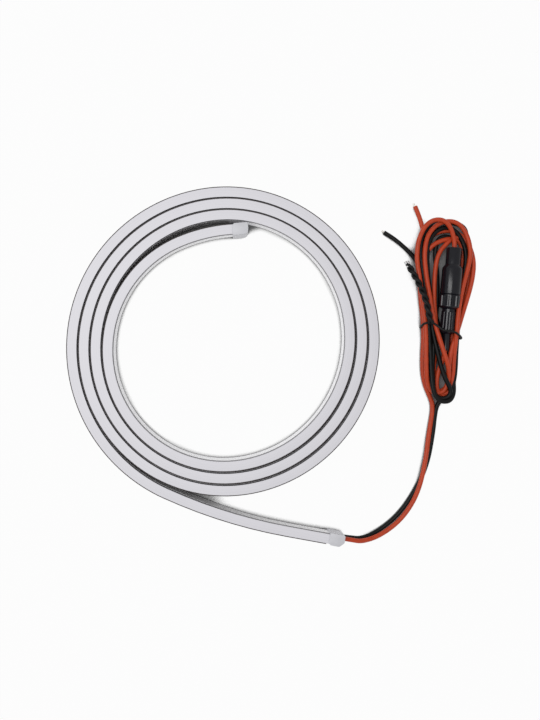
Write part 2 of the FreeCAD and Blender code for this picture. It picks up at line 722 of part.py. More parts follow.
flat_place = Placement(HOLDER_FOOT, Rotation(Vector(0, 0, 1), HOLDER_HEADING))
hank = new_body("wire_hank")
hank_outline = new_sketch(hank, "hank_outline", "XY_Plane")
rounded_link(hank_outline, HANK_TOP, s.hank_top_radius, HANK_FOOT, s.hank_foot_radius)
hank_pad = extrude(hank, "PartDesign::Pad", "hank_pad", hank_outline, s.hank_height)
doc.recompute()
upper_edges = []
for number, edge in enumerate(hank_pad.Shape.Edges, start=1):
    if edge.BoundBox.ZMin > s.hank_height.value - 0.01:
        upper_edges.append(f"Edge{number}")
crown = hank.newObject("PartDesign::Chamfer", "hank_crown")
crown.Base = (hank_pad, upper_edges)
crown.setExpression("Size", s.hank_crown.formula)
room = new_sketch(hank, "holder_room", "XY_Plane")
rounded_link(
    room,
    flat_place.multVec(Vector(FOOT_CENTRE.value, 0, 0)),
    hank_foot_radius,
    flat_place.multVec(Vector(cap_centre.value, 0, 0)),
    hank_cap_radius,
)
extrude(hank, "PartDesign::Pocket", "holder_room_cut", room, s.hank_height, backwards=True)

# Seat under the hank for the twist tie.
TIE_CENTRE = Vector(49.9, 98.9, 0)
TIE_HEADING = -17.5
tie_place = Placement(TIE_CENTRE, Rotation(Vector(0, 0, 1), TIE_HEADING))
seat = new_sketch(hank, "tie_seat", "XY_Plane")
seat.AttachmentOffset = tie_place
half_seat = s.tie_width / 2 + s.tie_play
seat_reach = s.tie_inner_width / 2 + s.tie_thickness * 2
outline(seat, rectangle(-seat_reach, -half_seat, seat_reach, half_seat))
extrude(hank, "PartDesign::Pocket", "tie_seat_cut", seat, s.tie_thickness + s.tie_play, backwards=True)
keep(hank, "wire_hank", no_turn)

# Twist tie: a band round the hank and the holder's barrel, and its twisted tail.
band = new_body("tie_band")
band_section = new_sketch(band, "tie_band_section", "XZ_Plane")
half_band = s.tie_inner_width / 2
band_top = holder_radius + bore + s.holder_wall + s.tie_play
outline(band_section, rectangle(
    -half_band - s.tie_thickness, ZERO, half_band + s.tie_thickness, band_top + s.tie_thickness
))
outline(band_section, rectangle(-half_band, s.tie_thickness, half_band, band_top))
band_run = extrude(band, "PartDesign::Pad", "tie_band_run", band_section, s.tie_width)
band_run.SideType = "Symmetric"
band.Placement = tie_place
tail_height = band_top.value + s.tie_thickness.value / 2
tail_route = route([
    (43.4, 100.9, tail_height),
    (42.2, 110.4, tail_height + 0.2),
    (39.0, 120.3, tail_height - 0.5),
    (35.2, 128.9, tail_height - 3.4),
])
tail = doc.addObject("Part::Feature", "tie_tail")
tail.Shape = tube("tie_tail", tail_route, s.tie_tail_diameter.value)
twist_tie = doc.addObject("Part::Fuse", "twist_tie")
twist_tie.Base = band
twist_tie.Tool = tail
keep(twist_tie, "twist_tie", no_turn)

doc.recompute()

# Every object has to be sound before anything is written.
for thing in doc.Objects:
    faults = [state for state in thing.State if state in ("Invalid", "Error")]
    if faults:
        raise RuntimeError(f"{thing.Label}: {faults}")
for piece, place in pieces:
    if piece.Shape.isNull() or not piece.Shape.isValid():
        raise RuntimeError(f"{piece.Label}: shape is empty or not valid")

# The origin is put under the middle of the strip with its tape and boots.
box = FreeCAD.BoundBox()
for piece, place in pieces:
    if piece.Label in ("strip_sleeve", "adhesive_tape", "lead_end_boot", "inner_end_boot"):
        shape = piece.Shape.copy()
        shape.Placement = place
        box.add(shape.optimalBoundingBox(False))
to_origin = Placement(Vector(-box.Center.x, -box.Center.y, 0), Rotation())
for piece, place in pieces:
    piece.Placement = to_origin.multiply(place)
doc.recompute()

os.makedirs("parts", exist_ok=True)
for piece, place in pieces:
    piece.Shape.exportStep(f"parts/{piece.Label}.step")
print(len(pieces), "sub-parts, strip", round(strip_length, 1), "mm, origin shift", to_origin.Base)
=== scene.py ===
# LED hood light strip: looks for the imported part, built piece by piece around it.
# Metres and radians, +Z up. Routes are in millimetres from the strip's lead end.
import math

import bmesh
import bpy
from mathutils import Matrix, Vector


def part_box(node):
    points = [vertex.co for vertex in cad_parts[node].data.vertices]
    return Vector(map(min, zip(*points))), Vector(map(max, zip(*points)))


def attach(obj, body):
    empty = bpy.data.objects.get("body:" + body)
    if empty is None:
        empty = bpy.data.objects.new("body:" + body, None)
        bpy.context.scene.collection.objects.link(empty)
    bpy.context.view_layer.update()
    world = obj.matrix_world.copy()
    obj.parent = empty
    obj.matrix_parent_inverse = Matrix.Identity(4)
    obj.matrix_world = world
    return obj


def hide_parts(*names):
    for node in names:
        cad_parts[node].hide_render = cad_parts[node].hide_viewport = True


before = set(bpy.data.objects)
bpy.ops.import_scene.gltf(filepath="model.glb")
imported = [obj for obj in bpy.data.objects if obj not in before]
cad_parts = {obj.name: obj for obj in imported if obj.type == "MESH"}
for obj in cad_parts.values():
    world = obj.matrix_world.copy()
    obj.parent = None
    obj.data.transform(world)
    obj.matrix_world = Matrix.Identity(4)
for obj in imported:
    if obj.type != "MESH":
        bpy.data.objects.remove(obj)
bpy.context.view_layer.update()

# Silicone sleeve: one extruded length of white silicone. A milky lens runs along its front and stands a
# little proud of the two rims. It is coiled on its edge, and its ends are glued into moulded boots.
# The rims' front faces are painted dark grey, a painted shade for the step beside the lens. The lens is
# painted whiter than the body, partly its own milky colour and partly painted light on its front wall.
MM = 0.001
TAIL_HEADING = math.radians(169.71)
TAIL_STRAIGHT = 25.7 * MM
TAIL_SWEEP_RADIUS = 246.0 * MM
TAIL_SWEEP_TURN = math.radians(14.06)
TAIL_JOIN_TURN = math.radians(54.65)
TAIL_SPREAD = 2.71 * MM
COIL_RADIUS = 72.44 * MM
COIL_PITCH = 5.6 * MM
COIL_OVAL = 1.33 * MM
OVAL_GROWTH = 0.1 * MM
COIL_RISE = 0.2 * MM
COIL_QUARTERS = 12
INNER_SPRING = 2.65 * MM
INNER_SPRING_TURN = math.radians(78.1)
INNER_FLARE = 18.5 * MM
INNER_FLARE_TURN = math.radians(18.4)
INNER_STRAIGHT = 6.6 * MM
FACET = math.radians(2.0)
FEWEST_FACETS = 3

STRIP_FOOT = 0.55 * MM
STRIP_HEIGHT = 12.0 * MM
STRIP_THICKNESS = 4.7 * MM
BACK_ROUND = 0.2 * MM
RIM = 2.2 * MM
LENS_STEP = 0.2 * MM
LENS_FACE = -STRIP_THICKNESS / 2
RIM_FACE = LENS_FACE + LENS_STEP
FACE_SKIN = 0.03 * MM
SHARP_ANGLE = math.radians(32)

TAIL_LEAN = 0.09
LEAN_START = 30.0 * MM
LEAN_END = 78.0 * MM

SKIN_DARK = (0.655, 0.645, 0.685, 1)
SKIN_LIGHT = (0.725, 0.715, 0.75, 1)
# Rim faces beside the lens: dark grey, a painted shade for the step between rim and lens.
RIM_PAINTED_SHADE = (0.27, 0.265, 0.28, 1)
# Lens face: its own milky white, lifted further as painted light so the front wall is as bright as the top.
LENS_WHITE_AND_PAINTED_LIGHT = (0.95, 0.945, 0.96, 1)
DRAW_LINES = 5200.0
DRAW_LINE_SHARE = 0.12
SKIN_CLOUD_SCALE = 60.0
SKIN_CLOUD_SHARE = 0.5
SKIN_LEAST_LIGHT = 0.2
SKIN_ROUGH = 0.4
SKIN_ROUGH_SPAN = 0.2

BOOT_OVERLAP = 5.6 * MM
LEAD_BOOT_END = 1.8 * MM
boot_low, boot_high = [Vector(corner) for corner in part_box("lead_end_boot")]
tail_way = Vector((math.cos(TAIL_HEADING), math.sin(TAIL_HEADING), 0))
lead_end = (boot_low + boot_high) / 2 - tail_way * (BOOT_OVERLAP - LEAD_BOOT_END) / 2
lead_end.z = 0


def quarter_radius(index):
    """Radius of a quarter turn. Opposite quarters are flatter, more so further in, and turns shift a bit."""
    oval = COIL_OVAL + OVAL_GROWTH * index
    if index % 2:
        oval = -oval
    rise = -COIL_RISE / 4 if index % 4 in (1, 2) else COIL_RISE / 4
    return COIL_RADIUS - COIL_PITCH * index / 4 + oval + rise


strip_bends = [
    (TAIL_SWEEP_RADIUS, TAIL_SWEEP_TURN),
    (quarter_radius(-1) + TAIL_SPREAD, TAIL_JOIN_TURN),
    *((quarter_radius(index), math.radians(90)) for index in range(COIL_QUARTERS)),
    (quarter_radius(COIL_QUARTERS) - INNER_SPRING, INNER_SPRING_TURN),
    (quarter_radius(COIL_QUARTERS) + INNER_FLARE, INNER_FLARE_TURN),
]


class Socket:
    """An output in a node tree that can be added to and multiplied."""

    def __init__(self, tree, output):
        self.tree = tree
        self.output = output

    def math(self, operation, first, second):
        return node(self.tree, "ShaderNodeMath", {"operation": operation}, [first, second])

    def __add__(self, other):
        return self.math("ADD", self, other)

    def __radd__(self, other):
        return self.math("ADD", other, self)

    def __mul__(self, other):
        return self.math("MULTIPLY", self, other)

    def __rmul__(self, other):
        return self.math("MULTIPLY", other, self)


def node(tree, kind, settings, values, output=0):
    """Adds a node: its settings first, then its sockets by place or name, linked or set."""
    made = tree.nodes.new(kind)
    for name, value in settings.items():
        setattr(made, name, value)
    places = values.items() if isinstance(values, dict) else enumerate(values)
    for place, value in places:
        if isinstance(value, Socket):
            tree.links.new(value.output, made.inputs[place])
        else:
            made.inputs[place].default_value = value
    return Socket(tree, made.outputs[output])


def new_material(name, **values):
    """A material with one Principled shader and its plain values."""
    material = bpy.data.materials.new(name)
    material.use_nodes = True
    shader = material.node_tree.nodes["Principled BSDF"]
    for socket, value in values.items():
        shader.inputs[socket.replace("_", " ")].default_value = value
    return material, material.node_tree, shader


def feed(tree, shader, name, value):
    tree.links.new(value.output, shader.inputs[name])


def colour_mix(tree, factor, first, second):
    return node(tree, "ShaderNodeMix", {"data_type": "RGBA"}, {0: factor, 6: first, 7: second}, 2)


def noise(tree, where, scale):
    return node(tree, "ShaderNodeTexNoise", {}, {"Vector": where, "Scale": scale, "Detail": 3.0})


def object_place(tree):
    return node(tree, "ShaderNodeTexCoord", {}, [], "Object")


def push(bm, ring, move):
    """Extrudes a ring of edges straight on and gives the new ring."""
    grown = bmesh.ops.extrude_edge_only(bm, edges=ring)["geom"]
    verts = {item for item in grown if isinstance(item, bmesh.types.BMVert)}
    bmesh.ops.translate(bm, verts=list(verts), vec=move)
    return [item for item in grown if isinstance(item, bmesh.types.BMEdge) and verts.issuperset(item.verts)]


def add_piece(name, data, material, slot, *node_names):
    """Adds a mesh or a curve as a piece of the part and hides the imported nodes that it stands for."""
    data.materials.append(material)
    piece = bpy.data.objects.new(name, data)
    bpy.context.scene.collection.objects.link(piece)
    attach(piece, "root")
    if node_names:
        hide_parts(*node_names)
    return piece


def add_mesh(name, bm, material, slot, *node_names):
    """Finishes a mesh, smooth but for its sharp edges, and adds it as a piece."""
    bmesh.ops.recalc_face_normals(bm, faces=bm.faces)
    mesh = bpy.data.meshes.new(name)
    bm.to_mesh(mesh)
    bm.free()
    mesh.shade_smooth()
    mesh.set_sharp_from_angle(angle=SHARP_ANGLE)
    add_piece(name, mesh, material, slot, *node_names)


def lean_tail(verts):
    """Leans the tail's foot back from its top edge, more towards the lead end."""
    back = Vector((-math.sin(TAIL_HEADING), math.cos(TAIL_HEADING), 0))
    for vert in verts:
        along = (vert.co - lead_end).dot(tail_way)
        share = min(1.0, max(0.0, (LEAN_END - along) / (LEAN_END - LEAN_START)))
        drop = STRIP_FOOT + STRIP_HEIGHT - vert.co.z
        vert.co += back * drop * TAIL_LEAN * share * share * (3 - 2 * share)


def along_strip(bm, start, stop):
    """Carries the section in the mesh along the strip, cut back at both ends, and closes it there."""
    into_place = Matrix.Translation(lead_end + tail_way * start) @ Matrix.Rotation(TAIL_HEADING, 4, "Z")
    bmesh.ops.transform(bm, matrix=into_place, verts=bm.verts)
    ring = push(bm, bm.edges[:], tail_way * (TAIL_STRAIGHT - start))
    heading = TAIL_HEADING
    point = lead_end + tail_way * TAIL_STRAIGHT
    for number, (radius, turn) in enumerate(strip_bends):
        middle = point + Vector((math.sin(heading), -math.cos(heading), 0)) * radius
        steps = max(FEWEST_FACETS, round(turn / FACET))
        spun = bmesh.ops.spin(bm, geom=ring, cent=middle, axis=(0, 0, 1), angle=-turn, steps=steps)
        ring = [item for item in spun["geom_last"] if isinstance(item, bmesh.types.BMEdge)]
        heading -= turn
        point = middle + Vector((-math.sin(heading), math.cos(heading), 0)) * radius
        if number == 0:
            lean_tail(bm.verts)
    way = Vector((math.cos(heading), math.sin(heading), 0))
    if INNER_STRAIGHT > stop:
        ring = push(bm, ring, way * (INNER_STRAIGHT - stop))
    bmesh.ops.edgeloop_fill(bm, edges=ring)
    return point + way * INNER_STRAIGHT, way


silicone, tree, shader = new_material("silicone", Specular_IOR_Level=0.3)
across = node(tree, "ShaderNodeAttribute", {"attribute_name": "across"}, [], "Fac")
ripple = node(tree, "ShaderNodeMath", {"operation": "SINE"}, [across * DRAW_LINES])
cloud = noise(tree, object_place(tree), SKIN_CLOUD_SCALE)
lightness = ripple * DRAW_LINE_SHARE + cloud * SKIN_CLOUD_SHARE + SKIN_LEAST_LIGHT
skin = colour_mix(tree, lightness, SKIN_DARK, SKIN_LIGHT)
on_shaded_rim = node(tree, "ShaderNodeMath", {"operation": "LESS_THAN"}, [across, RIM_FACE + FACE_SKIN])
on_lens = node(tree, "ShaderNodeMath", {"operation": "LESS_THAN"}, [across, LENS_FACE + FACE_SKIN])
# The rim faces are painted dark grey: a painted shade, not the silicone's own colour.
skin = colour_mix(tree, on_shaded_rim, skin, RIM_PAINTED_SHADE)
# The lens face is whiter than the body: partly its milky colour, partly painted light.
skin = colour_mix(tree, on_lens, skin, LENS_WHITE_AND_PAINTED_LIGHT)
feed(tree, shader, "Base Color", skin)
feed(tree, shader, "Roughness", cloud * SKIN_ROUGH_SPAN + SKIN_ROUGH)

back_face = STRIP_THICKNESS / 2
top = STRIP_FOOT + STRIP_HEIGHT
section = [
    (back_face, STRIP_FOOT),
    (back_face, top),
    (RIM_FACE, top),
    (RIM_FACE, top - RIM),
    (LENS_FACE, top - RIM),
    (LENS_FACE, STRIP_FOOT + RIM),
    (RIM_FACE, STRIP_FOOT + RIM),
    (RIM_FACE, STRIP_FOOT),
]
bm = bmesh.new()
across_layer = bm.verts.layers.float.new("across")
corners = []
for y, z in section:
    corner = bm.verts.new((0, y, z))
    corner[across_layer] = y
    corners.append(corner)
bm.faces.new(corners)
back_corners = corners[:2]
bmesh.ops.bevel(
    bm, geom=back_corners, offset=BACK_ROUND, segments=2, profile=0.5, affect="VERTICES", material=-1
)
inner_end, inner_way = along_strip(bm, 0, 0)
add_mesh("silicone_sleeve", bm, silicone, "silicone", "strip_sleeve")

# Circuit: a white flexible ribbon with light-emitting chips and resistors soldered to it, slid into the
# sleeve's channel. The wires' tinned conductors are soldered to its first pads.
METAL = {"rough": 0.25, "rough_span": 0.2, "Metallic": 1.0}
GRAIN_DEPTH = 0.2 * MM


def clouded(name, dark, light, scale, rough, rough_span=0.0, grain_scale=0.0, grain_strength=0.0, **values):
    """A material that drifts between two shades, and in roughness and fine grain where they are given."""
    material, tree, shader = new_material(name, Roughness=rough, **values)
    where = object_place(tree)
    cloud = noise(tree, where, scale)
    feed(tree, shader, "Base Color", colour_mix(tree, cloud, dark, light))
    if rough_span:
        feed(tree, shader, "Roughness", cloud * rough_span + rough)
    if grain_scale:
        grain = noise(tree, where, grain_scale)
        bump = {"Strength": grain_strength, "Distance": GRAIN_DEPTH, "Height": grain}
        feed(tree, shader, "Normal", node(tree, "ShaderNodeBump", {}, bump))
    return material


def dress(material, *node_names):
    """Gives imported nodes, which keep their shape, their material."""
    for name in node_names:
        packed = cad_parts[name]
        packed.data.materials.clear()
        packed.data.materials.append(material)


circuit = clouded(
    "circuit", (0.55, 0.55, 0.52, 1), (0.66, 0.66, 0.63, 1), scale=300.0, rough=0.35, rough_span=0.2
)
led = clouded("led", (0.62, 0.50, 0.12, 1), (0.72, 0.60, 0.20, 1), scale=900.0, rough=0.3, rough_span=0.2)
resistor = clouded(
    "resistor", (0.012, 0.012, 0.012, 1), (0.03, 0.03, 0.03, 1), scale=900.0, rough=0.35, rough_span=0.2
)
tin = clouded("tin", (0.52, 0.50, 0.47, 1), (0.72, 0.70, 0.67, 1), scale=1500.0, **METAL)
copper = clouded("tinned_copper", (0.62, 0.58, 0.52, 1), (0.80, 0.78, 0.74, 1), scale=1500.0, **METAL)
dress(circuit, "led_ribbon")
dress(led, "led_chips")
dress(resistor, "resistor_chips")
dress(tin, "solder_joints")
dress(copper, "lead_conductors")

# Adhesive tape: double-sided foam tape with its brown liner still on. It is stuck along the strip's
# back, from one boot to the other. The liner is painted near black, darker than a brown liner, as a
# painted shade for the narrow gaps between the turns.
TAPE_WIDTH = 11.6 * MM
TAPE_THICKNESS = 0.35 * MM
TAPE_BOND = 0.03 * MM
TAPE_INSET = 6.6 * MM
# Liner colours: a brown liner darkened to near black, partly painted shade for the gaps between turns.
LINER_AND_GAP_SHADE_DARK = (0.014, 0.009, 0.008, 1)
LINER_AND_GAP_SHADE_LIGHT = (0.032, 0.021, 0.019, 1)
tape_liner_and_gap_shade = clouded("tape_liner_and_gap_shade", LINER_AND_GAP_SHADE_DARK, LINER_AND_GAP_SHADE_LIGHT, scale=150.0, rough=0.6)
bm = bmesh.new()
inside = back_face + TAPE_BOND
outside = inside + TAPE_THICKNESS
tape_low = STRIP_FOOT + STRIP_HEIGHT / 2 - TAPE_WIDTH / 2
tape_high = STRIP_FOOT + STRIP_HEIGHT / 2 + TAPE_WIDTH / 2
section = [(inside, tape_low), (outside, tape_low), (outside, tape_high), (inside, tape_high)]
bm.faces.new([bm.verts.new((0, y, z)) for y, z in section])
along_strip(bm, TAPE_INSET, TAPE_INSET)
add_mesh("tape_on_back", bm, tape_liner_and_gap_shade, "tape", "adhesive_tape")

# End boots: moulded from a slightly clearer silicone, pushed over the strip's ends and filled with
# glue. The corners are cut or rounded, and all edges are soft.
INNER_BOOT_END = 2.0 * MM
BOOT_SIDE = 0.55 * MM
BOOT_EDGE = 0.35 * MM
EDGE_ANGLE = 0.7
OPEN_CUT = 1.1 * MM
LEAD_BACK_CUT = 2.1 * MM
LEAD_FRONT_ROUND = 0.9 * MM
INNER_BACK_CUT = 0.5 * MM
INNER_FRONT_ROUND = 2.3 * MM
BOOT_DARK = (0.52, 0.52, 0.55, 1)
BOOT_LIGHT = (0.63, 0.63, 0.66, 1)
boot_silicone = clouded(
    "boot_silicone", BOOT_DARK, BOOT_LIGHT, scale=300.0, rough=0.3, rough_span=0.25, Specular_IOR_Level=0.35
)


def soften(bm, edges, offset, steps):
    bmesh.ops.bevel(bm, geom=edges, offset=offset, segments=steps, profile=0.5, affect="EDGES", material=-1)


def boot(name, node_name, end, way, closed, back, back_cut, front_round):
    """A boot over the strip's end. The way points into the strip, and back is the tape's side."""
    length = BOOT_OVERLAP + closed
    width = STRIP_THICKNESS + 2 * BOOT_SIDE
    height = STRIP_HEIGHT + 2 * BOOT_SIDE
    bm = bmesh.new()
    bmesh.ops.create_cube(bm, size=1)
    bmesh.ops.scale(bm, vec=(length, width, height), verts=bm.verts)
    upright = [e for e in bm.edges if abs(e.verts[0].co.z - e.verts[1].co.z) > height / 2]
    at_closed_end_and_back = {(e.verts[0].co.x < 0, e.verts[0].co.y * back > 0): e for e in upright}
    soften(bm, [at_closed_end_and_back[True, True]], back_cut, steps=1)
    soften(bm, [at_closed_end_and_back[False, True]], OPEN_CUT, steps=1)
    soften(bm, [at_closed_end_and_back[True, False]], front_round, steps=4)
    soften(bm, [e for e in bm.edges if e.calc_face_angle() > EDGE_ANGLE], BOOT_EDGE, steps=2)
    spot = Matrix.Translation(end + way * (BOOT_OVERLAP - closed) / 2 + Vector((0, 0, height / 2)))
    turn = Matrix.Rotation(math.atan2(way.y, way.x), 4, "Z")
    bmesh.ops.transform(bm, matrix=spot @ turn, verts=bm.verts)
    if end == lead_end:
        lean_tail(bm.verts)
    add_mesh(name, bm, boot_silicone, "boot", node_name)


boot(
    "boot_with_leads", "lead_end_boot", lead_end, tail_way, closed=LEAD_BOOT_END, back=1,
    back_cut=LEAD_BACK_CUT, front_round=LEAD_FRONT_ROUND,
)
boot(
    "boot_on_free_end", "inner_end_boot", inner_end, -inner_way, closed=INNER_BOOT_END, back=-1,
    back_cut=INNER_BACK_CUT, front_round=INNER_FRONT_ROUND,
)

# Wires: stranded copper in soft red and black insulation, tied up as they left the factory. The red
# wire goes through the fuse holder, so it is two lengths. Each route follows its wire strand by strand.
WIRE = 2.2 * MM
RED_A_LENGTH = 0.554
RED_B_LENGTH = 0.475
BLACK_LENGTH = 0.577
RED_DARK = (0.38, 0.036, 0.009, 1)
RED_LIGHT = (0.53, 0.060, 0.016, 1)
BLACK_DARK = (0.002, 0.002, 0.002, 1)
BLACK_LIGHT = (0.005, 0.005, 0.005, 1)
INSULATION = {"scale": 400.0, "rough": 0.35, "rough_span": 0.2, "grain_scale": 2500.0, "grain_strength": 0.12}
red_wire = clouded("red_wire", RED_DARK, RED_LIGHT, **INSULATION, Specular_IOR_Level=0.3)
black_wire = clouded("black_wire", BLACK_DARK, BLACK_LIGHT, **INSULATION, Specular_IOR_Level=0.2)


def from_lead_end(route):
    """Places of a route that is given in millimetres from the strip's lead end."""
    return [lead_end + Vector(point) * MM for point in route]


def round_curve(name, places, radius, around, along, closed=False):
    """A round bar along its places, as one spline. More steps around and along make it finer."""
    curve = bpy.data.curves.new(name, "CURVE")
    curve.dimensions = "3D"
    curve.bevel_depth = radius
    curve.bevel_resolution = around
    curve.resolution_u = along
    curve.use_fill_caps = True
    spline = curve.splines.new("NURBS")
    spline.points.add(len(places) - 1)
    for knot, place in zip(spline.points, places):
        knot.co = (*place, 1)
    spline.order_u = 3
    spline.use_cyclic_u = closed
    spline.use_endpoint_u = not closed
    return curve


def wire(name, route, length, far_end, material, slot, *node_names):
    """One wire along its route, as a round curve that starts at the route's first point."""
    places = from_lead_end(route)
    curve = round_curve(name, places, WIRE / 2, around=4, along=6)
    piece = add_piece(name, curve, material, slot, *node_names)


RED_TO_HOLDER = [
    # From the boot to the hank's foot.
    (0.8, 0.0, 7.85), (5.7, -0.9, 7.7), (11.2, -2.3, 5.8), (20.4, 0.0, 3.5), (30.8, 7.8, 3.4),
    (38.4, 19.8, 3.6), (42.3, 34.8, 3.1), (44.5, 50.2, 1.7), (46.8, 62.4, 1.3), (44.5, 68.2, 1.5),
    # Up the left side and over the top.
    (42.4, 73.0, 1.6), (41.3, 78.9, 1.8), (41.2, 86.4, 2.0), (41.7, 94.4, 2.0), (41.6, 103.4, 1.9),
    (40.6, 113.4, 1.3), (40.0, 123.4, 1.2), (40.9, 131.9, 1.8), (43.0, 137.6, 3.0), (45.8, 140.8, 3.8),
    (49.4, 142.7, 3.8), (53.4, 143.8, 3.4), (57.6, 143.8, 2.4), (60.6, 140.8, 1.4),
    # Down the right side and round the foot.
    (61.0, 135.4, 1.2), (60.4, 127.4, 1.2), (59.6, 119.4, 1.2), (58.2, 111.4, 1.4), (56.2, 103.4, 1.9),
    (55.4, 95.4, 1.9), (55.4, 85.4, 1.3), (55.2, 77.4, 1.2), (53.2, 71.2, 1.2), (50.6, 68.4, 1.2),
    (46.4, 68.8, 1.2),
    # Up the left side and over the top again, wider.
    (44.0, 73.0, 1.2), (43.3, 81.4, 1.3), (43.6, 93.4, 1.9), (43.4, 103.4, 1.9), (42.3, 113.4, 1.3),
    (42.1, 123.4, 1.2), (42.0, 133.4, 1.2), (43.2, 140.8, 1.3), (46.0, 146.0, 1.5), (50.4, 147.8, 1.9),
    (55.4, 148.0, 1.9), (60.0, 146.0, 2.0), (63.4, 141.8, 2.4), (65.2, 136.4, 3.0), (65.8, 131.2, 3.4),
    # Down the right side, beside the holder, and round the foot.
    (65.2, 125.4, 3.5), (63.9, 119.6, 3.6), (62.2, 114.0, 3.8), (59.9, 107.2, 4.4), (57.8, 101.0, 5.3),
    (56.1, 96.0, 5.6), (54.6, 91.2, 5.5), (53.5, 86.0, 5.2), (53.2, 79.4, 4.4), (53.0, 73.2, 3.4),
    (51.2, 69.4, 2.9), (46.8, 68.6, 2.9), (44.0, 71.4, 3.6),
    # Up the left side on top of the others, over and into the holder.
    (42.5, 76.2, 4.8), (42.1, 80.8, 5.6), (41.9, 87.6, 5.8), (42.0, 94.8, 5.7), (41.7, 103.5, 5.5),
    (40.3, 114.1, 5.4), (39.0, 124.7, 5.4), (37.9, 130.9, 5.4), (37.6, 136.7, 5.6), (38.3, 143.0, 5.9),
    (40.8, 148.8, 6.2), (44.4, 152.3, 6.5), (48.8, 152.8, 6.8), (52.2, 150.9, 6.6), (54.2, 147.6, 6.0),
    (55.6, 143.8, 5.2), (56.0, 140.0, 4.85), (55.7, 136.0, 4.85),
]
RED_FROM_HOLDER = [
    # Out of the holder's lower end and round the foot.
    (52.0, 94.8, 4.85), (51.6, 90.4, 4.85), (50.4, 84.6, 4.0), (48.2, 78.8, 3.3), (47.6, 71.6, 2.8),
    (49.6, 68.2, 2.5), (54.4, 68.2, 2.3), (56.4, 71.8, 2.0),
    # Up the right side and over the top.
    (56.8, 79.0, 1.4), (57.0, 86.4, 1.3), (57.7, 95.0, 1.9), (58.6, 103.0, 1.9), (61.0, 110.8, 1.4),
    (63.2, 119.0, 1.2), (64.4, 127.4, 1.2), (64.2, 135.4, 1.2), (63.2, 140.6, 1.5), (61.4, 143.8, 2.0),
    (58.2, 144.9, 2.7), (55.0, 143.6, 3.3), (52.4, 141.3, 3.6), (49.8, 138.5, 3.5),
    # Down the middle and round the foot.
    (48.0, 134.6, 3.4), (47.0, 128.8, 3.3), (46.6, 121.5, 3.3), (46.5, 113.4, 3.3), (47.2, 104.4, 3.3),
    (47.8, 96.4, 3.2), (47.2, 87.4, 2.4), (46.5, 80.0, 2.2), (46.4, 72.0, 2.1), (48.6, 68.4, 2.2),
    (53.2, 68.4, 2.5), (55.3, 72.0, 2.9),
    # Up the right side, over the holder's edge, and over the top.
    (55.7, 80.0, 3.8), (55.8, 86.4, 4.2), (56.0, 93.4, 6.2), (56.5, 99.7, 7.2), (56.9, 105.0, 6.9),
    (57.6, 110.2, 6.4), (58.9, 117.0, 5.8), (60.2, 122.0, 5.5), (61.9, 127.8, 5.3), (63.2, 133.2, 5.2),
    (63.7, 138.0, 5.0), (62.6, 143.8, 4.8), (60.4, 148.6, 4.6), (57.2, 151.6, 4.5), (52.8, 152.4, 4.4),
    (48.2, 150.9, 4.6), (44.8, 148.0, 5.0), (42.6, 144.2, 5.3),
    # Down the left side, across to the right and round the foot.
    (41.5, 139.1, 5.5), (41.3, 134.3, 5.6), (41.8, 128.5, 5.6), (42.8, 121.3, 5.6), (43.9, 115.5, 5.6),
    (44.8, 109.3, 5.7), (45.9, 104.0, 6.0), (47.2, 98.8, 6.6), (49.0, 92.4, 7.2), (51.4, 85.2, 7.3),
    (53.0, 80.4, 6.0), (53.6, 74.0, 2.8), (51.6, 70.0, 1.8), (47.0, 69.6, 1.4), (44.6, 73.2, 1.3),
    # Up the left side underneath and out as the free end.
    (44.4, 80.4, 1.3), (44.6, 86.4, 1.3), (45.0, 93.4, 1.9), (45.2, 103.4, 1.9), (44.6, 113.4, 1.3),
    (44.4, 123.4, 1.2), (43.6, 133.4, 1.2), (42.4, 141.4, 1.6), (41.2, 147.8, 3.2), (40.2, 152.2, 2.9),
    (39.0, 156.4, 2.1), (37.8, 159.8, 1.4),
]
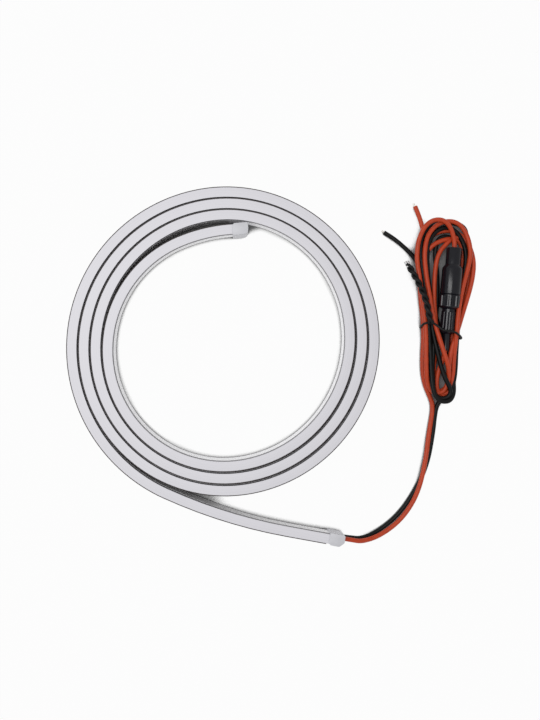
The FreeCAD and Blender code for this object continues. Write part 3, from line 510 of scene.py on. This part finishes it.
BLACK = [
    # From the boot to the hank's foot.
    (0.8, 0.1, 5.25), (5.7, -0.5, 5.1), (11.1, -1.6, 3.1), (19.6, 1.2, 1.15), (29.6, 9.2, 1.15),
    (37.6, 20.6, 1.15), (43.8, 34.0, 1.15), (46.6, 49.6, 1.15), (47.3, 57.0, 1.2), (48.2, 62.8, 1.5),
    (51.0, 66.6, 2.0), (54.4, 69.8, 2.7),
    # Up the right side and over the top.
    (56.2, 75.0, 3.4), (56.9, 81.4, 3.4), (57.1, 87.4, 3.4), (57.5, 95.0, 3.6), (58.0, 100.4, 3.4),
    (57.9, 106.4, 3.2), (57.9, 112.0, 3.2), (58.4, 117.4, 3.2), (59.5, 121.8, 3.2), (61.3, 127.8, 3.2),
    (62.2, 133.6, 3.2), (61.7, 138.9, 3.2), (59.8, 143.8, 3.2), (56.8, 147.7, 3.4), (52.9, 149.5, 3.5),
    (49.4, 148.7, 3.6), (46.0, 146.2, 3.6), (43.8, 142.0, 3.6),
    # Down the left side, across to the right and round the foot.
    (43.0, 135.4, 3.5), (43.4, 127.4, 3.4), (44.2, 119.4, 3.4), (44.8, 111.4, 3.4), (45.2, 102.4, 3.8),
    (46.4, 94.8, 4.6), (47.8, 88.4, 5.2), (49.4, 81.4, 5.4), (51.5, 75.6, 5.6), (54.3, 70.6, 5.4),
    (53.1, 67.0, 5.0), (48.6, 66.2, 4.5), (46.0, 69.6, 3.9),
    # Up the middle and over the top, with one fold back.
    (45.8, 75.2, 3.8), (45.6, 80.4, 3.6), (46.0, 87.4, 3.6), (46.4, 96.4, 3.2), (47.6, 105.4, 2.2),
    (48.5, 113.4, 1.4), (48.7, 121.4, 1.2), (48.4, 129.0, 1.2), (47.4, 135.4, 1.5), (47.8, 141.4, 2.1),
    (49.4, 144.3, 2.3), (52.2, 145.3, 2.5), (55.4, 144.4, 2.0), (58.8, 143.0, 1.4), (62.0, 144.0, 1.3),
    (63.0, 147.2, 1.3), (60.8, 150.4, 1.6), (56.4, 151.8, 2.0), (51.6, 152.2, 2.3), (46.4, 151.0, 2.7),
    (42.6, 147.6, 3.3), (40.2, 143.4, 4.0),
    # Down the left side and round the foot, outside the others.
    (39.7, 135.9, 4.2), (40.5, 129.6, 4.3), (41.6, 122.4, 4.3), (42.7, 115.1, 4.3), (43.3, 105.4, 4.4),
    (43.8, 96.4, 4.6), (44.3, 87.8, 4.8), (44.5, 80.6, 5.2), (44.8, 74.6, 5.8), (45.6, 69.0, 6.1),
    (48.0, 65.4, 6.2), (52.8, 64.9, 5.8), (55.6, 68.0, 4.6),
    # Underneath, across to the left and out as the free end.
    (56.3, 73.6, 2.8), (55.0, 81.4, 1.4), (52.4, 89.4, 1.2), (50.4, 97.4, 1.2), (48.0, 106.4, 1.2),
    (45.6, 115.4, 1.2), (43.0, 123.6, 1.2), (40.4, 130.0, 1.3), (37.2, 134.9, 1.8), (33.6, 138.6, 2.2),
    (29.4, 142.4, 2.0), (25.8, 145.2, 1.5), (22.6, 147.2, 1.2),
]

wire(
    "red_wire_to_holder", RED_TO_HOLDER, RED_A_LENGTH, "object", red_wire, "red_wire",
    "red_lead", "fuse_wire_top", "wire_hank",
)
wire(
    "red_wire_from_holder", RED_FROM_HOLDER, RED_B_LENGTH, "bare", red_wire, "red_wire",
    "fuse_wire_foot", "red_free_end",
)
wire(
    "black_wire_through", BLACK, BLACK_LENGTH, "bare", black_wire, "black_wire",
    "black_lead", "black_free_end",
)

# Bare tips: the last few millimetres of each wire's strands, stripped and dipped in tin, so that they
# can be crimped.
dress(copper, "red_bare_tip", "black_bare_tip")

# Fuse: a glass tube with bright end caps and a thin wire between them. A brass contact at each end and
# a steel spring hold it inside the closed holder.
GLASS_SMEAR_SCALE = 400.0
GLASS_ROUGH = 0.02
GLASS_ROUGH_SPAN = 0.06
brass = clouded("brass", (0.55, 0.40, 0.16, 1), (0.68, 0.52, 0.24, 1), scale=800.0, **METAL)
steel = clouded("spring_steel", (0.45, 0.45, 0.46, 1), (0.58, 0.58, 0.60, 1), scale=800.0, **METAL)
glass, tree, shader = new_material(
    "fuse_glass", Transmission_Weight=1.0, IOR=1.47, Base_Color=(0.95, 0.97, 0.96, 1)
)
smear = noise(tree, object_place(tree), GLASS_SMEAR_SCALE)
feed(tree, shader, "Roughness", smear * GLASS_ROUGH_SPAN + GLASS_ROUGH)
dress(glass, "fuse_glass")
dress(steel, "fuse_end_caps", "contact_spring")
dress(copper, "fuse_element")
dress(brass, "body_contact", "cap_contact")

# In-line fuse holder: two turned halves of glossy black plastic, the cap screwed over the body's
# spigot. The body has a fluted grip and fine ribs on its barrel.
HOLDER_FOOT = (51.5, 89.7, 4.85)
HOLDER_HEADING = math.radians(84.9)
HOLDER_DARK = (0.004, 0.004, 0.0065, 1)
HOLDER_LIGHT = (0.008, 0.008, 0.012, 1)
AROUND = 72
RIBS_AROUND = 18
STEM = 1.76
BARREL = 3.4
WAIST = 3.15
GRIP = 4.85
NECK = 3.64
SPIGOT = 3.9
BARREL_RIBS = (9.51, 18.41)
BARREL_RIB_DEPTH = 0.16
GRIP_FLUTES = (21.41, 26.31)
GRIP_FLUTE_DEPTH = 0.4
BODY_STATIONS = [
    (0, 1.2), (0, 1.6), (0.15, STEM), (7.6, STEM), (8.0, 1.9), (8.8, 3.1), (9.1, BARREL), (9.5, BARREL),
    (9.52, BARREL), (18.4, BARREL), (18.42, BARREL), (18.9, BARREL), (19.0, WAIST), (19.9, WAIST),
    (20.3, 3.6), (21.0, 4.7), (21.2, GRIP), (21.4, GRIP), (21.42, GRIP), (26.3, GRIP), (26.32, GRIP),
    (26.7, GRIP), (26.95, 4.6), (26.98, SPIGOT),
]
CAP_STATIONS = [
    (27.0, SPIGOT), (27.05, 4.55), (27.3, 4.82), (27.5, GRIP), (39.4, GRIP), (39.9, 4.75), (41.2, 3.85),
    (41.5, 3.66), (41.7, NECK), (49.2, NECK), (49.6, 3.45), (49.7, 3.2), (49.7, 1.2),
]
holder_spot = Matrix.Translation(lead_end + Vector(HOLDER_FOOT) * MM)
holder_place = holder_spot @ Matrix.Rotation(HOLDER_HEADING, 4, "Z")
holder_plastic = clouded(
    "holder_plastic", HOLDER_DARK, HOLDER_LIGHT, scale=500.0, rough=0.15, rough_span=0.1,
    grain_scale=3000.0, grain_strength=0.06, Specular_IOR_Level=0.3,
)


def turned(stations):
    """A closed turned mesh along X from stations of place and radius, in millimetres."""
    bm = bmesh.new()
    bmesh.ops.create_circle(bm, segments=AROUND, radius=stations[0][1] * MM, cap_ends=True)
    bmesh.ops.rotate(bm, cent=(0, 0, 0), matrix=Matrix.Rotation(math.radians(90), 3, "Y"), verts=bm.verts)
    bmesh.ops.translate(bm, verts=bm.verts, vec=(stations[0][0] * MM, 0, 0))
    ring = bm.edges[:]
    for (before, small), (after, large) in zip(stations, stations[1:]):
        ring = push(bm, ring, ((after - before) * MM, 0, 0))
        verts = list({vert for edge in ring for vert in edge.verts})
        bmesh.ops.scale(bm, vec=(1, large / small, large / small), verts=verts)
    bmesh.ops.edgeloop_fill(bm, edges=ring)
    return bm


def flutes(bm, span, depth):
    """Pulls in every second strip of a turned mesh between two stations."""
    start, stop = span
    for vert in bm.verts:
        if start * MM < vert.co.x < stop * MM:
            strip = math.atan2(vert.co.z, vert.co.y) * RIBS_AROUND / (2 * math.pi)
            if strip % 1 < 0.5:
                radius = math.hypot(vert.co.y, vert.co.z)
                vert.co.y *= 1 - depth * MM / radius
                vert.co.z *= 1 - depth * MM / radius


body = turned(BODY_STATIONS)
flutes(body, BARREL_RIBS, BARREL_RIB_DEPTH)
flutes(body, GRIP_FLUTES, GRIP_FLUTE_DEPTH)
bmesh.ops.transform(body, matrix=holder_place, verts=body.verts)
add_mesh("fuse_body", body, holder_plastic, "holder", "fuse_holder_body")
cap = turned(CAP_STATIONS)
bmesh.ops.transform(cap, matrix=holder_place, verts=cap.verts)
add_mesh("fuse_cap", cap, holder_plastic, "holder", "fuse_holder_cap")

# Twist tie: steel wire in black plastic, bent round the hank and twisted to itself. The two ends are
# cut off square, so the steel shows.
TIE_WIRE = 0.55 * MM
STRAND = 0.85 * MM
TWIST_PITCH = 8.0 * MM
TWIST_REACH = 0.75 * MM
CORE_RADIUS = 0.7 * MM
CORE_LENGTH = 3.0 * MM
TIE_DARK = (0.002, 0.002, 0.002, 1)
TIE_LIGHT = (0.007, 0.007, 0.007, 1)
CORE_DARK = (0.60, 0.60, 0.60, 1)
CORE_LIGHT = (0.72, 0.72, 0.72, 1)
TIE_RING = [
    (40.0, 101.2, 3.6), (40.2, 102.2, 6.2), (41.4, 103.0, 7.3), (44.4, 103.4, 7.5), (46.8, 101.6, 8.0),
    (49.4, 99.4, 8.8), (52.6, 99.2, 8.9), (55.0, 98.6, 8.9), (57.4, 97.0, 8.0), (59.2, 95.6, 5.6),
    (59.2, 95.4, 2.6), (57.8, 95.8, 0.5), (50.0, 98.0, 0.5), (42.4, 100.4, 0.5), (40.2, 100.8, 1.2),
]
TIE_TAIL = [
    (43.8, 102.6, 8.2), (42.6, 107.0, 8.3), (41.9, 111.6, 8.2), (40.3, 116.8, 8.0), (38.2, 121.6, 7.6),
    (36.2, 126.0, 6.2), (33.5, 131.4, 4.4),
]
tie_plastic = clouded(
    "tie_plastic", TIE_DARK, TIE_LIGHT, scale=700.0, rough=0.35, rough_span=0.3, Specular_IOR_Level=0.25
)
tie_steel = clouded("tie_steel", CORE_DARK, CORE_LIGHT, scale=900.0, rough=0.35, rough_span=0.2, Metallic=0.6)
tie_ring = round_curve("tie_round_hank", from_lead_end(TIE_RING), TIE_WIRE, around=3, along=12, closed=True)
add_piece("tie_round_hank", tie_ring, tie_plastic, "tie", "twist_tie")


def line_points(route):
    """Close points along a route's smooth line."""
    curve = round_curve("tail_line", from_lead_end(route), 0, around=3, along=12)
    line = bpy.data.objects.new("tail_line", curve)
    bpy.context.scene.collection.objects.link(line)
    bpy.context.view_layer.update()
    points = [vert.co.copy() for vert in bpy.data.meshes.new_from_object(line).vertices]
    bpy.data.objects.remove(line)
    return points


def wound(line, start_angle):
    """Places of a strand wound round a line, and the way that the line points at its end."""
    places = []
    run = 0.0
    for i, point in enumerate(line):
        before = line[max(i - 1, 0)]
        after = line[min(i + 1, len(line) - 1)]
        run += (point - before).length
        way = (after - before).normalized()
        side = way.cross(Vector((0, 0, 1))).normalized()
        lift = side.cross(way)
        angle = 2 * math.pi * run / TWIST_PITCH + start_angle
        places.append(point + (side * math.cos(angle) + lift * math.sin(angle)) * TWIST_REACH)
    return places, way


tail_line = line_points(TIE_TAIL)
for number in (1, 2):
    strand, end_way = wound(tail_line, math.pi * (number - 1))
    tie_end = round_curve(f"tie_end_{number}", strand, STRAND, around=3, along=12)
    add_piece(f"tie_end_{number}", tie_end, tie_plastic, "tie")
    core = bmesh.new()
    core_turn = end_way.to_track_quat("Z", "Y").to_matrix().to_4x4()
    bmesh.ops.create_cone(
        core, cap_ends=True, segments=16, radius1=CORE_RADIUS, radius2=CORE_RADIUS, depth=CORE_LENGTH,
        matrix=Matrix.Translation(strand[-1]) @ core_turn,
    )
    add_mesh(f"tie_core_{number}", core, tie_steel, "tie")

# Floor: white paper that glows evenly white to the camera, in reflections and through glass. Where the
# part covers it closely, ambient occlusion takes the glow away and leaves a dark paper colour, a painted
# shadow; elsewhere only a faint lamp shadow stays. It belongs to the picture, not to the light strip.
FLOOR_REACH = 3
PAPER_WHITE = (0.88, 0.88, 0.88, 1)
PAPER_SHADED = (0.22, 0.22, 0.22, 1)
COVER_REACH = 7 * MM
OPEN_GAIN = 8.0
OPEN_START = -3.5
GLOW_SHARE = 0.97
bm = bmesh.new()
bmesh.ops.create_grid(bm, x_segments=1, y_segments=1, size=FLOOR_REACH)
mesh = bpy.data.meshes.new("floor")
bm.to_mesh(mesh)
bm.free()
floor = bpy.data.objects.new("floor", mesh)
bpy.context.scene.collection.objects.link(floor)
floor_paper, tree, shader = new_material("floor_paper", Roughness=0.9)
camera_ray = node(tree, "ShaderNodeLightPath", {}, [], "Is Camera Ray")
glossy_ray = node(tree, "ShaderNodeLightPath", {}, [], "Is Glossy Ray")
glass_ray = node(tree, "ShaderNodeLightPath", {}, [], "Is Transmission Ray")
rays = [camera_ray + glossy_ray, glass_ray]
seen = node(tree, "ShaderNodeMath", {"operation": "ADD", "use_clamp": True}, rays)
# Camera, reflection and glass rays see a darker paper than bounce light does: painted shade where the glow
# gives way.
feed(tree, shader, "Base Color", colour_mix(tree, seen, PAPER_WHITE, PAPER_SHADED))
paper = Socket(tree, shader.outputs[0])
glow = node(tree, "ShaderNodeEmission", {}, {"Color": (1, 1, 1, 1), "Strength": 1.0})
# Ambient occlusion, not a lamp, darkens the floor where the part covers it closely: a painted shadow.
openness = node(tree, "ShaderNodeAmbientOcclusion", {"samples": 16}, {"Distance": COVER_REACH}, "AO")
steep = {"operation": "MULTIPLY_ADD", "use_clamp": True}
open_floor = node(tree, "ShaderNodeMath", steep, [openness, OPEN_GAIN, OPEN_START])
paper_glow_and_painted_shadow = node(tree, "ShaderNodeMixShader", {}, [seen * open_floor * GLOW_SHARE, paper, glow])
tree.links.new(paper_glow_and_painted_shadow.output, tree.nodes["Material Output"].inputs["Surface"])
mesh.materials.append(floor_paper)

# Light: an even white sky, and one long softbox up on the left that draws the soft streaks along the
# fuse holder.
SKY_STRENGTH = 0.62
SOFTBOX_WIDTH = 0.2
SOFTBOX_LENGTH = 0.6
SOFTBOX_POWER = 2.6
SOFTBOX_PLACE = (-0.28, 0.1, 0.72)
SOFTBOX_AIM = (0.3, -0.08, -0.72)
scene = bpy.context.scene
world = bpy.data.worlds.new("sky")
world.use_nodes = True
sky = world.node_tree.nodes["Background"]
sky.inputs["Color"].default_value = (1, 1, 1, 1)
sky.inputs["Strength"].default_value = SKY_STRENGTH
scene.world = world
lamp = bpy.data.lights.new("softbox", "AREA")
lamp.shape = "RECTANGLE"
lamp.size = SOFTBOX_WIDTH
lamp.size_y = SOFTBOX_LENGTH
lamp.energy = SOFTBOX_POWER
softbox = bpy.data.objects.new("softbox", lamp)
softbox.location = SOFTBOX_PLACE
softbox.rotation_euler = Vector(SOFTBOX_AIM).to_track_quat("-Z", "Y").to_euler()
scene.collection.objects.link(softbox)

# Camera: straight above, looking down, with the lens shifted so that the picture's middle lies off to
# one side of it.
SENSOR = 36
FOCAL_LENGTH = 35.7
SHIFT_RIGHT = 0.05
SHIFT_UP = -0.0375
EYE_FROM_LEAD_END = (-50.5, 98.15, 349.5)
lens = bpy.data.cameras.new("camera")
lens.sensor_width = SENSOR
lens.sensor_fit = "AUTO"
lens.lens = FOCAL_LENGTH
lens.shift_x = SHIFT_RIGHT
lens.shift_y = SHIFT_UP
lens.clip_start = 0.01
lens.clip_end = 20
eye = bpy.data.objects.new("camera", lens)
eye.location = lead_end + Vector(EYE_FROM_LEAD_END) * MM
scene.collection.objects.link(eye)
scene.camera = eye
scene.view_settings.view_transform = "Standard"
